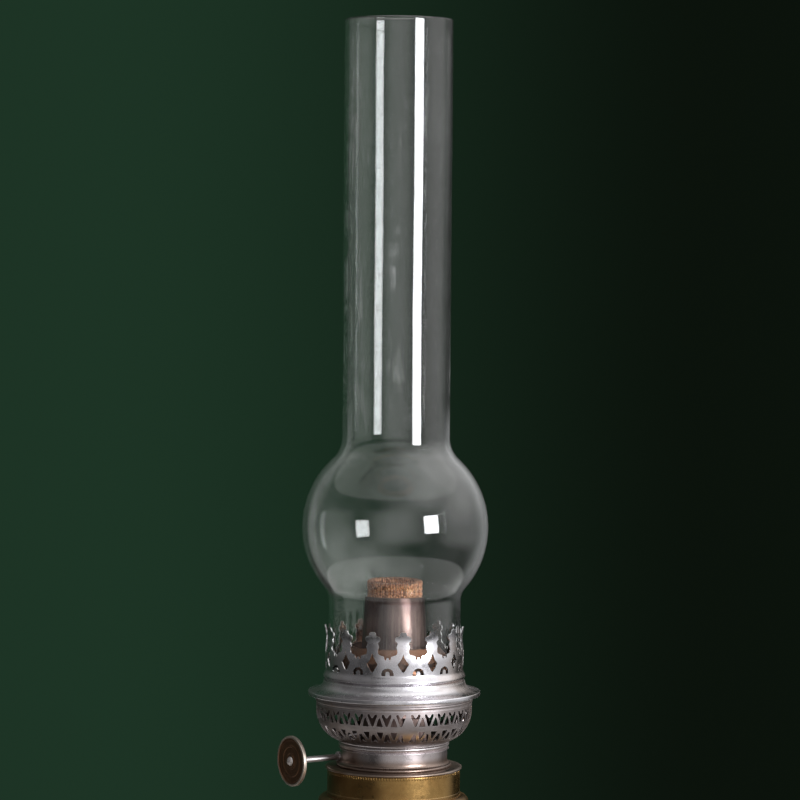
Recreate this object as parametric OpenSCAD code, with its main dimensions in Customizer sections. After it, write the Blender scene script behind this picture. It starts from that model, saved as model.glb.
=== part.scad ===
// Kerosene table lamp: spun brass stand and font, round-wick burner, pierced gallery and bulged chimney.
// Millimetres, Z up, origin on the table under the lamp's axis.

/* [Foot] */
// Radius of the foot at its rim
foot_r = 72; // [64:1:84]
// Height of the foot's dome, up to the stem
foot_h = 30; // [27:1:36]
// Radius of the half-round moulding at the rim
foot_bead_r = 2.5; // [2:0.1:3]
// Radius of the moulding round the foot's waist
foot_waist_r = 34; // [30:1:38]
// Wall of the foot's spun shell
foot_wall = 1.2; // [0.9:0.1:1.6]
// Radius of the cast ballast plate inside the foot
ballast_r = 34; // [24:1:38]
// Thickness of the ballast plate
ballast_t = 4.5; // [3:0.5:5]

/* [Stem] */
// Height of the lower stem, from the foot to the knop
stem_base_h = 24; // [18:1:32]
// Radius of the stem at its thinnest
stem_r = 7.5; // [6:0.5:10]
// Radius of the stem where it stands on the foot
stem_foot_r = 16; // [13:0.5:19]
// Radius of the stem's head, under the font's cup
stem_head_r = 20; // [17:0.5:23]
// Radius of the turned knop
knop_r = 15.5; // [13:0.5:19]
// Height of the turned knop
knop_h = 22; // [18:1:28]
// Height of the upper stem, from the knop to the font's cup
stem_top_h = 26; // [20:1:34]
// Radius of the steel tie rod
rod_r = 3; // [2.5:0.25:4]

/* [Font] */
// Radius of the font at its widest
font_r = 64; // [56:1:72]
// Height of the font's lower bowl
font_low_h = 42; // [38:1:50]
// Height of the font's upper dome
font_top_h = 47.8; // [42:0.2:56]
// Wall of the font's spun shells
font_wall = 0.9; // [0.7:0.1:1.2]
// Radius of the flat bottom of the font
font_flat_r = 18; // [15:1:22]
// Height of the band over the font's seam
seam_h = 6; // [5:0.5:8]
// Radius of the cup that carries the font
cup_r = 31; // [27:1:36]

/* [Font collar] */
// Outer radius of the collar's plain band
collar_r = 26.7; // [26.2:0.1:28]
// Height of the whole collar
collar_h = 16.2; // [15:0.2:19]
// Height of the plain band above the shoulder moulding
collar_band_h = 10.4; // [9:0.1:11.4]
// Radius of the shoulder moulding at its widest
collar_shoulder_r = 30.2; // [29:0.1:32]
// Bore of the collar, where the burner screws in
collar_bore_r = 24.3; // [23.8:0.1:24.6]

/* [Burner base] */
// Radius of the burner's base plate
plate_r = 27.5; // [26.8:0.1:29]
// Thickness of the base plate
plate_t = 1.2; // [0.9:0.1:1.6]
// Outer radius of the winder drum
drum_r = 21.5; // [21:0.1:22.2]
// Height of the winder drum above the base plate
drum_h = 7.4; // [7.2:0.1:8.4]
// Wall of the drum, gallery and wick tube sheet
sheet_t = 0.5; // [0.4:0.05:0.7]
// Length of the threaded ring below the base plate
thread_h = 10.5; // [9:0.5:13]
// Wall of the threaded ring
thread_wall = 2; // [1.6:0.1:2.4]
// Pitch of the thread
thread_pitch = 1.75; // [1.5:0.05:2.2]

/* [Wick and tubes] */
// Radius of the outer wick tube at its mouth
mouth_r = 11.8; // [11.8:0.1:12.4]
// Radius of the outer wick tube below its taper
tube_r = 13.3; // [12.9:0.1:13.6]
// Height of the wick tube's mouth above the base plate's underside
mouth_h = 70.6; // [66:0.2:76]
// Length of the tube's taper
taper_h = 21; // [16:0.5:26]
// Outer radius of the wick
wick_r = 11; // [10.6:0.05:11]
// Thickness of the wick
wick_t = 2.4; // [2.2:0.1:2.8]
// Height of wick that stands above the tube
wick_show = 5.4; // [3:0.2:7]
// Length of the wick below the base plate
wick_drop = 78; // [60:1:84]
// Width of the gap between the rolled wick's two edges
wick_gap = 10; // [8:0.5:12]
// Height of the air window in the side of the wick tubes
window_h = 11; // [8:0.5:14]

/* [Winder] */
// Direction the winder shaft points in, counted from +X
winder_angle = 214.2; // [200:0.2:230]
// Distance of the shaft from the lamp's axis
shaft_offset = 14.9; // [14.9:0.05:15.4]
// Height of the shaft above the base plate's underside
shaft_z = 3.8; // [3.6:0.1:4.1]
// Radius of the shaft
shaft_r = 1.2; // [1:0.1:1.4]
// Distance along the shaft to the middle of the knob's disc
knob_reach = 39; // [34:0.5:46]
// Radius of the knob's disc
knob_r = 10.1; // [8.5:0.1:12]
// Thickness of the knob's disc
knob_t = 1.6; // [1.2:0.1:2.2]
// Tip radius of the spur wheels
spur_r = 3.6; // [3.3:0.05:3.6]
// Thickness of a spur wheel
spur_t = 1.4; // [1:0.1:1.8]
// Number of teeth on a spur wheel
spur_teeth = 14; // [10:1:18]
// Distance between the middles of the two spur wheels
spur_gap = 5.2; // [4.6:0.2:6]

/* [Gallery] */
// Radius of the pierced basket at its widest
basket_r = 31.3; // [30.6:0.1:32]
// Height of the basket, from the drum to the flange
basket_h = 22.7; // [22:0.1:24.5]
// Number of figures in each pierced row
figures = 34; // [28:1:36]
// Radius of the flange that takes a shade ring
flange_r = 34.6; // [33.8:0.1:37]
// Height of the flange's dish, from the basket to the crown
dish_h = 4.3; // [3.8:0.1:5]
// Height of the upright edge of the flange's rim, which a shade ring fits over
rim_h = 1.8; // [1.6:0.1:2.4]
// Radius of the air cone's foot
cone_foot_r = 23.2; // [22.6:0.1:23.4]
// Radius of the air cone's mouth
cone_mouth_r = 17.7; // [16.5:0.1:19]
// Height of the air cone
cone_h = 14.1; // [13:0.1:17]
// Height of the crown above the flange
crown_h = 22; // [21.4:0.1:24]
// Number of fingers on the crown
fingers = 14; // [12:1:14]

/* [Chimney] */
// Outer radius of the chimney's base tube
chimney_r = 26.45; // [26:0.05:26.8]
// Outer radius of the chimney's upper tube
flue_r = 21.6; // [20:0.1:23]
// Outer radius of the bulge
bulge_r = 37.3; // [35:0.1:42]
// Height of the bulge's middle above the chimney's foot
bulge_z = 61; // [56:0.5:70]
// Height of the whole chimney
chimney_h = 264; // [220:1:300]
// Wall of the glass
glass_t = 1.8; // [1.5:0.1:2.2]
// Radius of the curve below the bulge
low_curve_r = 8; // [5:0.5:12]
// Radius of the curve above the bulge
top_curve_r = 12; // [8:0.5:16]

/* [Fits] */
// Radial clearance of pieces that slide or turn in each other
slide_fit = 0.3; // [0.2:0.05:0.4]
// Radial clearance of pieces that are pressed or soldered together
solder_fit = 0.05; // [0.03:0.01:0.08]
// Radial clearance of the winder shaft in its bearings
shaft_fit = 0.06; // [0.04:0.01:0.1]
// Gap between the crown's fingers and the glass
glass_gap = 0.3; // [0.3:0.02:0.5]

/* [Hidden] */
$fn = 72;
// Overlap of a cutting solid past the face it cuts
cut = 1;

// Heights of the stand's joints above the table
knop_z = foot_h + stem_base_h;
stem_top_z = knop_z + knop_h;
cup_z = stem_top_z + stem_top_h;
cup_t = 2;
font_z = cup_z + cup_t;
seam_z = font_z + font_low_h;
collar_z = seam_z + font_top_h;
// Top of the collar, where the burner's base plate rests
burner_z = collar_z + collar_h;
drum_top_z = burner_z + plate_t + drum_h;
flange_z = drum_top_z + basket_h;
seat_z = flange_z + dish_h;
seat_t = 0.6;
glass_z = seat_z + seat_t;
mouth_z = burner_z + mouth_h;
wick_top_z = mouth_z + wick_show;
axle_z = burner_z + shaft_z;
crown_r = chimney_r + glass_gap + sheet_t;
thread_r = collar_bore_r - slide_fit;
drum_inner_r = drum_r - sheet_t;
thread_inner_r = thread_r - thread_wall;
rod_bore_r = rod_r + solder_fit;

// Points of a circle's arc from angle a0 to a1
function arc(c, r, a0, a1, n) =
    [for (i = [0:n]) let (a = a0 + (a1 - a0) * i / n) c + r * [cos(a), sin(a)]];
// Points of a cubic curve with two handles
function curve(p, n) = [for (i = [0:n]) let (t = i / n, s = 1 - t)
    s * s * s * p[0] + 3 * s * s * t * p[1] + 3 * s * t * t * p[2] + t * t * t * p[3]];
function reversed(path) = [for (i = [len(path) - 1:-1:0]) path[i]];
// Right-hand side of a path at point i, which is outward for a path that climbs
function side(path, i) =
    let (d = path[min(i + 1, len(path) - 1)] - path[max(i - 1, 0)]) [d.y, -d.x] / norm(d);
// Closed outline of a sheet of thickness t whose outer face follows the path
function sheet_outline(path, t) =
    concat(path, [for (i = [len(path) - 1:-1:0]) path[i] - t * side(path, i)]);

module turned(outline) { rotate_extrude() polygon(outline); }
module spun(path, t) { turned(sheet_outline(path, t)); }
module ring(inner, outer, z, h) {
    translate([0, 0, z]) difference() {
        cylinder(r = outer, h = h);
        translate([0, 0, -cut]) cylinder(r = inner, h = h + 2 * cut);
    }
}
// A flat figure set upright and pushed outward from radius r0 to r1: its x runs along the rim, its y up
module pierce(angle, r0, r1) {
    rotate([0, 0, angle]) translate([r0, 0, 0]) rotate([90, 0, 90]) linear_extrude(r1 - r0) children();
}
// The winder's own frame, with its z along the shaft toward the knob and its x down
module at_winder() {
    rotate([0, 0, winder_angle]) translate([0, -shaft_offset, axle_z]) rotate([0, 90, 0]) children();
}
// A solid of revolution about the winder shaft, from s0 to s1 along it
module on_shaft(r, s0, s1) {
    at_winder() translate([0, 0, s0]) cylinder(r = r, h = s1 - s0);
}

// Foot
foot_hole_r = rod_bore_r;
foot_path = concat(
    [[foot_r, 0]],
    arc([foot_r - foot_bead_r, foot_bead_r], foot_bead_r, 0, 90, 6),
    curve([[foot_r - 7, 2 * foot_bead_r + 0.4], [foot_r - 9, foot_h * 0.45],
           [foot_waist_r + 12, foot_h * 0.33], [foot_waist_r + 1.5, foot_h - 10.5]], 12),
    arc([foot_waist_r - 0.5, foot_h - 8.5], 2, -90, 90, 8),
    curve([[foot_waist_r - 3, foot_h - 6.3], [foot_waist_r - 8, foot_h - 5.6],
           [stem_foot_r + 8, foot_h - 0.2], [stem_foot_r + 1, foot_h]], 8),
    [[foot_hole_r, foot_h]]);
lip_w = 5;
module foot_shell() {
    color("darkgoldenrod") {
        spun(foot_path, foot_wall);
        ring(foot_r - lip_w, foot_r - foot_wall, 0, foot_wall);
    }
}
hub_r = 11;
ballast_z = 9.5;
module foot_ballast() {
    color("dimgray") difference() {
        union() {
            translate([0, 0, ballast_z]) cylinder(r = ballast_r, h = ballast_t);
            translate([0, 0, ballast_z]) cylinder(r = hub_r, h = foot_h - foot_wall - ballast_z);
        }
        translate([0, 0, ballast_z - cut]) cylinder(r = rod_bore_r, h = foot_h);
    }
}
washer_t = 1.2;
nut_h = 4.5;
nut_r = 2 * rod_r;
module foot_washer() { color("gray") ring(rod_bore_r, nut_r + 2, ballast_z - washer_t, washer_t); }
module foot_nut() {
    color("gray") translate([0, 0, ballast_z - washer_t - nut_h]) difference() {
        cylinder(r = nut_r, h = nut_h, $fn = 6);
        translate([0, 0, -cut]) cylinder(r = rod_bore_r, h = nut_h + 2 * cut);
    }
}
rod_z = ballast_z - washer_t - nut_h - 1.5;
boss_h = 9;
module tie_rod() {
    color("gray") translate([0, 0, rod_z]) cylinder(r = rod_r, h = font_z + font_wall + boss_h - 2 - rod_z);
}

// Stem
module bored_turning(path) {
    turned(concat([[rod_bore_r, path[0].y]], path, [[rod_bore_r, path[len(path) - 1].y]]));
}
module stem_base() {
    color("darkgoldenrod") bored_turning(concat(
        curve([[stem_foot_r, foot_h], [stem_foot_r * 0.75, foot_h + 3], [stem_r, foot_h + 7],
               [stem_r, knop_z - 7]], 10),
        arc([stem_r + 0.5, knop_z - 4.8], 2.2, -90, 90, 8),
        [[stem_r, knop_z - 2.4], [stem_r, knop_z]]));
}
module stem_knop() {
    color("darkgoldenrod") bored_turning(concat(
        [[stem_r + 1.5, knop_z], [stem_r + 1.5, knop_z + 1.6]],
        curve([[stem_r + 0.6, knop_z + 2.2], [knop_r * 1.1, knop_z + 3.4], [knop_r * 1.16, stem_top_z - 7],
               [stem_r + 0.6, stem_top_z - 2.2]], 16),
        [[stem_r + 1.5, stem_top_z - 1.6], [stem_r + 1.5, stem_top_z]]));
}
module stem_top() {
    color("darkgoldenrod") bored_turning(concat(
        [[stem_r, stem_top_z], [stem_r, stem_top_z + 1.4]],
        arc([stem_r + 0.4, stem_top_z + 3], 1.6, -90, 90, 6),
        curve([[stem_r, stem_top_z + 5], [stem_r + 0.5, cup_z - 8], [stem_head_r * 0.6, cup_z - 3],
               [stem_head_r, cup_z - 2.2]], 10),
        [[stem_head_r, cup_z]]));
}

// Font
// Upright edge of each half of the font, where the halves meet
edge_h = 0.8;
bowl_path = concat([[rod_bore_r + 5, font_z], [font_flat_r, font_z]],
    [for (p = curve([[font_flat_r, font_z], [font_r * 0.69, font_z], [font_r, font_z + font_low_h / 3],
                     [font_r, seam_z - edge_h]], 18)) if (p.x > font_flat_r) p],
    [[font_r, seam_z]]);
dome_path = concat([[font_r, seam_z]],
    curve([[font_r, seam_z + edge_h], [font_r, seam_z + font_top_h * 0.69],
           [collar_shoulder_r + 1.8, seam_z + font_top_h * 0.42],
           [collar_shoulder_r + 0.8, collar_z - 1]], 20),
    [[collar_shoulder_r + 0.4, collar_z], [collar_bore_r + 0.7, collar_z]]);
module font_cup() {
    cup_edge = [for (p = bowl_path) if (p.x < cup_r && p.x >= font_flat_r) p];
    n = len(cup_edge) - 1;
    outer = [for (i = [0:n]) cup_edge[i] + cup_t * side(cup_edge, i)];
    color("darkgoldenrod") bored_turning(concat(
        [[stem_head_r, cup_z]], [for (p = outer) if (p.x > stem_head_r && p.y > cup_z + 0.01) p],
        reversed([for (i = [0:n]) cup_edge[i] + solder_fit * side(cup_edge, i)]),
        [[font_flat_r - 1, font_z]]));
}
module font_bowl() {
    color("goldenrod") difference() {
        spun(bowl_path, font_wall);
        translate([0, 0, font_z - cut]) cylinder(r = rod_bore_r, h = 5);
    }
}
boss_r = font_flat_r - 5;
module font_boss() {
    color("darkgoldenrod") ring(rod_bore_r, boss_r, font_z + font_wall, boss_h - 2);
}
module font_dome() { color("goldenrod") spun(dome_path, font_wall); }
module font_seam_band() {
    inner = font_r + solder_fit;
    band_t = 0.7;
    low = seam_z - seam_h / 2;
    high = seam_z + seam_h / 2;
    color("darkgoldenrod") turned(concat([[inner, low], [inner + band_t, low]],
        arc([inner + band_t - 0.2, seam_z], seam_h / 2 - 0.9, -90, 90, 10),
        [[inner + band_t, high], [inner, high]]));
}

// Font collar
shoulder_mid_r = collar_r - 0.3;
shoulder_arc_r = collar_shoulder_r - shoulder_mid_r;
band_z = burner_z - collar_band_h;
module font_collar() {
    shoulder_z = collar_z + (band_z - collar_z) / 2;
    color("darkgoldenrod") turned(concat(
        [[collar_bore_r, collar_z], [shoulder_mid_r, collar_z]],
        [for (p = arc([0, 0], 1, -90, 90, 14)) if (p.x > 0.01)
            [shoulder_mid_r + shoulder_arc_r * p.x, shoulder_z + (band_z - collar_z) / 2 * p.y]],
        [[collar_r, band_z], [collar_r, burner_z - 0.4], [collar_r - 0.4, burner_z],
         [collar_bore_r, burner_z]]));
}

// Burner base
groove_d = 0.6;
thread_turns = floor((thread_h - 1) / thread_pitch);
module thread_ring() {
    crest = thread_pitch * 0.36;
    color("goldenrod") turned(concat(
        [[thread_inner_r, burner_z - thread_h], [thread_r - groove_d, burner_z - thread_h]],
        [for (i = [0:thread_turns - 1], j = [0:3]) let (z = burner_z - thread_h + 0.3 + i * thread_pitch)
            [thread_r - (j == 1 || j == 2 ? 0 : groove_d),
             z + [0, 0.5, 0.5 + crest / 2, 1 + crest / 2][j]]],
        [[thread_r - groove_d, burner_z], [thread_inner_r, burner_z]]));
}
tube_bore_r = tube_r + solder_fit;
wheel_room = 0.4;
wheel_depth = 8;
wheel_span = spur_gap / 2 + spur_t / 2 + wheel_room;
module base_plate() {
    color("silver") difference() {
        turned([[tube_bore_r, burner_z], [plate_r - 0.3, burner_z], [plate_r, burner_z + 0.3],
                [plate_r, burner_z + plate_t - 0.4], [plate_r - 0.5, burner_z + plate_t],
                [tube_bore_r, burner_z + plate_t]]);
        rotate([0, 0, winder_angle])
            translate([-wheel_span, -shaft_offset - spur_r - wheel_room, burner_z - cut])
                cube([2 * wheel_span, spur_r + wheel_room + wheel_depth / 2, plate_t + 2 * cut]);
    }
}
deck_t = 0.5;
bead_h = 1.2;
module winder_drum() {
    z = burner_z + plate_t;
    top = drum_top_z - deck_t;
    color("burlywood") difference() {
        turned(concat([[drum_inner_r, z], [drum_r + 1.1, z]],
            arc([drum_r + 1.1, z + bead_h / 2], bead_h / 2, -60, 90, 6),
            [[drum_r, z + bead_h], [drum_r, top], [drum_inner_r, top]]));
        on_shaft(gland_r + solder_fit, gland_s0 - 4, drum_r + 2);
    }
}
gland_r = 2.2;
gland_s0 = 12.2;
gland_s1 = 17.4;
module shaft_gland() {
    color("silver") difference() {
        on_shaft(gland_r, gland_s0, gland_s1);
        on_shaft(shaft_r + shaft_fit, gland_s0 - cut, gland_s1 + cut);
    }
}
tail_s = -wheel_span - 2.4;
tail_t = 1.8;
tail_w = 4.4;
module tail_bearing() {
    z = burner_z + plate_t;
    color("silver") difference() {
        rotate([0, 0, winder_angle]) translate([tail_s, -shaft_offset - tail_w / 2, z])
            cube([tail_t, tail_w, axle_z + tail_w / 2 - z]);
        on_shaft(shaft_r + shaft_fit, tail_s - cut, tail_s + tail_t + cut);
    }
}
module drum_deck() {
    z = drum_top_z - deck_t;
    color("burlywood") turned([[tube_bore_r, z], [drum_r + 0.4, z], [drum_r + 0.7, z + deck_t / 2],
                               [drum_r + 0.4, drum_top_z], [tube_bore_r, drum_top_z]]);
}

// Wick tubes
tube_drop = 4;
wick_inner_r = wick_r - wick_t;
inner_r = wick_inner_r - slide_fit;
inner_bore_r = inner_r - sheet_t;
lip_h = 4;
taper_z = mouth_z - lip_h - taper_h;
window_z = drum_top_z + 2.5;
duct_w = wick_gap - 0.8;
// The window faces away from the winder
window_angle = winder_angle - 90 + 180;
module window_cut(r0, r1) {
    pierce(window_angle, r0, r1) translate([-duct_w / 2 + sheet_t, window_z + sheet_t])
        square([duct_w - 2 * sheet_t, window_h - 2 * sheet_t]);
}
module outer_wick_tube() {
    outer = [[tube_r, burner_z - tube_drop], [tube_r, taper_z], [mouth_r + 0.35, mouth_z - lip_h],
             [mouth_r, mouth_z]];
    inner = [for (p = outer) p - [sheet_t, 0]];
    color("dimgray") difference() {
        turned(concat(outer, reversed(inner)));
        window_cut(tube_r - 3, tube_r + 1);
        rotate([0, 0, winder_angle]) for (s = [-1, 1])
            translate([s * spur_gap / 2 - spur_t / 2 - wheel_room, -tube_r - 1, axle_z - spur_r])
                cube([spur_t + 2 * wheel_room, wheel_depth, 2 * spur_r]);
    }
}
inner_floor_z = window_z - 1.5;
module inner_wick_tube() {
    color("dimgray") difference() {
        union() {
            ring(inner_bore_r, inner_r, inner_floor_z, mouth_z - inner_floor_z);
            translate([0, 0, inner_floor_z]) cylinder(r = inner_bore_r + 0.1, h = sheet_t);
        }
        window_cut(inner_bore_r - 2, inner_r + 1);
    }
}
module draught_duct() {
    color("dimgray") difference() {
        intersection() {
            pierce(window_angle, 4, tube_r + 2) translate([-duct_w / 2, window_z]) square([duct_w, window_h]);
            ring(inner_r + 0.02, tube_r - sheet_t - 0.02, window_z - cut, window_h + 2 * cut);
        }
        window_cut(3, tube_r + 3);
    }
}
wick_up = 4;
wick_down = 8;
wick_close_z = window_z + window_h + wick_down + 1.5;
wick_low_z = burner_z - wick_drop;
tail_slit_w = 3;
module wick() {
    color("peru") difference() {
        ring(wick_inner_r, wick_r, wick_low_z, wick_top_z - wick_low_z);
        pierce(window_angle, 0, wick_r + 1) translate([-wick_gap / 2, wick_low_z - cut])
            square([wick_gap, wick_close_z - wick_low_z + cut]);
        pierce(window_angle + 180, 0, wick_r + 1) translate([-tail_slit_w / 2, wick_low_z - cut])
            square([tail_slit_w, wick_drop - 26 + cut]);
    }
}

// Winder
shaft_tail_s = tail_s - 0.6;
knob_back_s = knob_reach - knob_t / 2;
knob_front_s = knob_reach + knob_t / 2;
module winder_shaft() { color("silver") on_shaft(shaft_r, shaft_tail_s, knob_front_s); }
module spur_wheels() {
    root_r = spur_r - 0.9;
    color("gray") for (s = [-1, 1]) at_winder() translate([0, 0, s * spur_gap / 2 - spur_t / 2])
        linear_extrude(spur_t) difference() {
            polygon([for (i = [0:spur_teeth - 1], j = [0:3])
                let (a = (i + [-0.25, -0.08, 0.08, 0.25][j]) * 360 / spur_teeth)
                (j == 1 || j == 2 ? spur_r : root_r) * [cos(a), sin(a)]]);
            circle(r = shaft_r + solder_fit);
        }
}
knob_hub_r = shaft_r + 1.1;
knob_hub_l = 2.2;
knob_edge_r = 0.5;
rivet_r = 2;
rivet_sink = 0.7;
module winder_knob() {
    rim_w = 1.1;
    dish = 0.35;
    ring_r = 6;
    back = knob_back_s;
    front = knob_front_s;
    floor_s = front - dish;
    color("saddlebrown") at_winder() turned([
        [shaft_r + solder_fit, back - knob_hub_l], [knob_hub_r, back - knob_hub_l], [knob_hub_r, back],
        [knob_r - knob_edge_r, back], [knob_r, back + knob_edge_r], [knob_r, front - knob_edge_r],
        [knob_r - knob_edge_r, front], [knob_r - rim_w, front], [knob_r - rim_w - dish, floor_s],
        [ring_r + 0.5, floor_s], [ring_r + 0.3, front - 0.1], [ring_r - 0.3, front - 0.1],
        [ring_r - 0.5, floor_s], [rivet_r + 0.6, floor_s], [rivet_r + 0.4, front],
        [shaft_r + solder_fit, front]]);
}
module knob_rivet() {
    head = arc([0, knob_front_s - rivet_sink], rivet_r, 0, 90, 8);
    color("silver") at_winder()
        turned(concat([[0, knob_front_s]], [for (p = head) if (p.y >= knob_front_s - 0.001) p]));
}

// Gallery
basket_bead_r = 0.7;
basket_base_r = drum_r + 0.3;
// Raised band round the basket, below the flange
band_rise = 0.25;
basket_band_z = drum_top_z + 18.6;
basket_path = concat(
    [[tube_r + 4.4, drum_top_z], [basket_base_r - 0.2, drum_top_z], [basket_base_r, drum_top_z + 0.4]],
    arc([basket_base_r - 0.2, drum_top_z + 1.5], basket_bead_r, -60, 70, 6),
    curve([[basket_base_r + 0.2, drum_top_z + 2.7], [basket_r - 2.8, drum_top_z + 5],
           [basket_r, drum_top_z + 9.9], [basket_r, drum_top_z + 15.9]], 14),
    [[basket_r, basket_band_z], [basket_r + band_rise, basket_band_z + 0.3],
     [basket_r + band_rise, basket_band_z + 1], [basket_r, basket_band_z + 1.3], [basket_r, flange_z]]);
// Right halves of the pierced figures, from bottom to top: x from the middle, y above the drum
upper_y = [[0.3, 12.2], [0.8, 13.4], [1.15, 14.5], [1.8, 16], [1.85, 16.6], [1.55, 16.95], [1.05, 16.85],
           [0.4, 15.8], [0, 15.35]];
upper_tri = [[1.3, 12.15], [0.9, 13.7], [0.2, 15.5]];
lower_y = [[0, 6.25], [0.7, 5.4], [1.4, 5.35], [1.15, 6.8], [0.45, 8.7]];
lower_tri = [[0.2, 6.7], [1, 8.6], [1.3, 9.75]];
function figure(half) =
    [for (p = concat(half, [for (q = reversed(half)) if (q.x > 0) [-q.x, q.y]])) p + [0, drum_top_z]];
// Direction of the first figure, and the one beside which the basket's seam has no triangles
figure_turn = -84.7;
seam_figure = 0;
module pierced_basket() {
    pitch = 360 / figures;
    r0 = basket_base_r + 1.5;
    r1 = basket_r + 1;
    color("tan") difference() {
        spun(basket_path, sheet_t);
        for (i = [0:figures - 1], half = [upper_y, lower_y])
            pierce(figure_turn + i * pitch, r0, r1) polygon(figure(half));
        for (i = [0:figures - 1], half = [upper_tri, lower_tri])
            if (i != seam_figure) pierce(figure_turn + (i + 0.5) * pitch, r0, r1) polygon(figure(half));
    }
}
flange_in_r = 21.5;
flange_t = 0.8;
brim_rise = 0.2;
module gallery_flange() {
    z = flange_z;
    brim_z = z + brim_rise;
    rim_z = brim_z - rim_h;
    corner_r = 0.45;
    corner = [flange_r - corner_r, 0];
    color("silver") turned(concat(
        [[flange_in_r, seat_z], [chimney_r + 1.9, seat_z]],
        curve([[chimney_r + 2, seat_z - 0.1], [chimney_r + 2.3, seat_z - dish_h * 0.6],
               [chimney_r + 3.8, z + 0.6], [flange_r - 0.9, brim_z]], 10),
        arc(corner + [0, brim_z - corner_r], corner_r, 90, 0, 4),
        arc(corner + [0, rim_z + corner_r], corner_r, 0, -90, 4),
        arc([flange_r - 1.2, rim_z + corner_r], corner_r, -90, -180, 4),
        [[flange_r - 1.8, z - 0.3], [flange_r - 2.2, z - 0.05], [basket_r + 0.8, z], [basket_r - 1.2, z],
         [chimney_r + 2.6, z + dish_h * 0.1], [chimney_r + 1.8, z + dish_h * 0.33],
         [chimney_r + 1.4, z + dish_h * 0.6], [chimney_r + 1.2, seat_z - flange_t],
         [flange_in_r, seat_z - flange_t]]));
}
seat_in_r = cone_foot_r + 0.4;
crown_foot_r = crown_r + 0.1;
module chimney_seat() {
    color("silver") ring(seat_in_r, crown_foot_r - sheet_t - solder_fit, seat_z, seat_t);
}
module air_cone() {
    top = seat_z + cone_h;
    color("sienna") spun([[cone_foot_r, seat_z], [cone_foot_r, seat_z + 0.6], [cone_foot_r - 0.6, top - 6.5],
                          [cone_foot_r - 1, top - 5.3], [cone_foot_r - 1.8, top - 4.3],
                          [cone_mouth_r + 0.4, top - 0.7], [cone_mouth_r, top]], sheet_t);
}
crown_path = [[crown_foot_r, seat_z], [crown_foot_r, seat_z + 0.6], [crown_r + 0.75, seat_z + 0.9],
              [crown_r + 1.2, seat_z + 1.6], [crown_r + 1.15, seat_z + 2.2], [crown_r + 0.8, seat_z + 3.1],
              [crown_r + 0.4, seat_z + 4.1], [crown_r + 0.35, seat_z + 5.2], [crown_r + 0.55, seat_z + 10.5],
              [crown_r + 0.35, seat_z + 13.8], [crown_r, seat_z + crown_h - 3.7],
              [crown_r + 0.6, seat_z + crown_h]];
// Half widths of a finger of the crown at depths below its tip
valley_d = 11;
finger = [[5.3, valley_d], [4.75, 10], [4.85, 9.45], [3.9, 9.35], [2.5, 8.7], [2.3, 7.6], [2.75, 5.7],
          [2.2, 4.25], [2.9, 3.6], [3.2, 2.6], [2.6, 1.7], [1.4, 1.5], [1.3, 0.7], [0.8, 0.1]];
// Right half of the kite below each finger, with its y above the valleys
kite = [[0, -4.9], [0.5, -4.5], [1.2, -3.4], [2.3, -1.6], [0.95, -0.1], [0.35, 1.3], [0, 2.6]];
// Arch below each valley, with a tongue standing in it
arch_r = 2.45;
tongue_r = 0.85;
arch_d = 6.2;
module chimney_crown() {
    pitch = 360 / fingers;
    finger_turn = 7.3 - 90;
    top = seat_z + crown_h;
    valley_z = top - valley_d;
    half = crown_r * PI / fingers + 0.1;
    r0 = crown_r - 3;
    r1 = crown_r + 3;
    flank = [for (f = finger) [max(half - f.x, 0.6), top - f.y]];
    color("silver") difference() {
        spun(crown_path, sheet_t);
        for (i = [0:fingers - 1]) {
            pierce(finger_turn + (i + 0.5) * pitch, r0, r1) {
                polygon(concat([[0, valley_z + 1], [0.5, valley_z + 0.8], [0.55, valley_z + 0.2]], flank,
                    [[half + 0.05, top + cut]], reversed([for (p = flank) [-p.x, p.y]]),
                    [[-0.55, valley_z + 0.2], [-0.5, valley_z + 0.8]]));
                polygon(concat(arc([0, valley_z - arch_d + 0.6], arch_r, 0, 180, 10),
                    [[-arch_r, valley_z - arch_d], [-tongue_r, valley_z - arch_d]],
                    arc([0, valley_z - arch_d + 0.8], tongue_r, 180, 0, 6),
                    [[tongue_r, valley_z - arch_d], [arch_r, valley_z - arch_d]]));
            }
            pierce(finger_turn + i * pitch, r0, r1)
                polygon([for (p = concat(kite, reversed([for (q = kite) if (q.x > 0) [-q.x, q.y]])))
                    p + [0, valley_z]]);
        }
    }
}

// Chimney
// Profile of the glass at a depth inside its outer face
function glass_path(depth) =
    let (low = [chimney_r + low_curve_r, 0], top = [flue_r + top_curve_r, 0],
         low_z = glass_z + bulge_z - sqrt(pow(bulge_r + low_curve_r, 2) - low.x * low.x),
         top_z = glass_z + bulge_z + sqrt(pow(bulge_r + top_curve_r, 2) - top.x * top.x),
         low_a = acos(low.x / (bulge_r + low_curve_r)), top_a = acos(top.x / (bulge_r + top_curve_r)))
    concat([[chimney_r - depth, glass_z + 0.4]],
        arc([low.x, low_z], low_curve_r + depth, 180, 180 - low_a, 6),
        arc([0, glass_z + bulge_z], bulge_r - depth, 1 - low_a, top_a - 1, 30),
        arc([top.x, top_z], top_curve_r + depth, 180 + top_a, 180, 10),
        [[flue_r - depth, glass_z + chimney_h - glass_t / 2]]);
module chimney() {
    color("azure", 0.4) turned(concat([[chimney_r - 0.4, glass_z]], glass_path(0),
        arc([flue_r - glass_t / 2, glass_z + chimney_h - glass_t / 2], glass_t / 2, 30, 150, 4),
        reversed(glass_path(glass_t)), [[chimney_r - glass_t + 0.4, glass_z]]));
}

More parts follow.
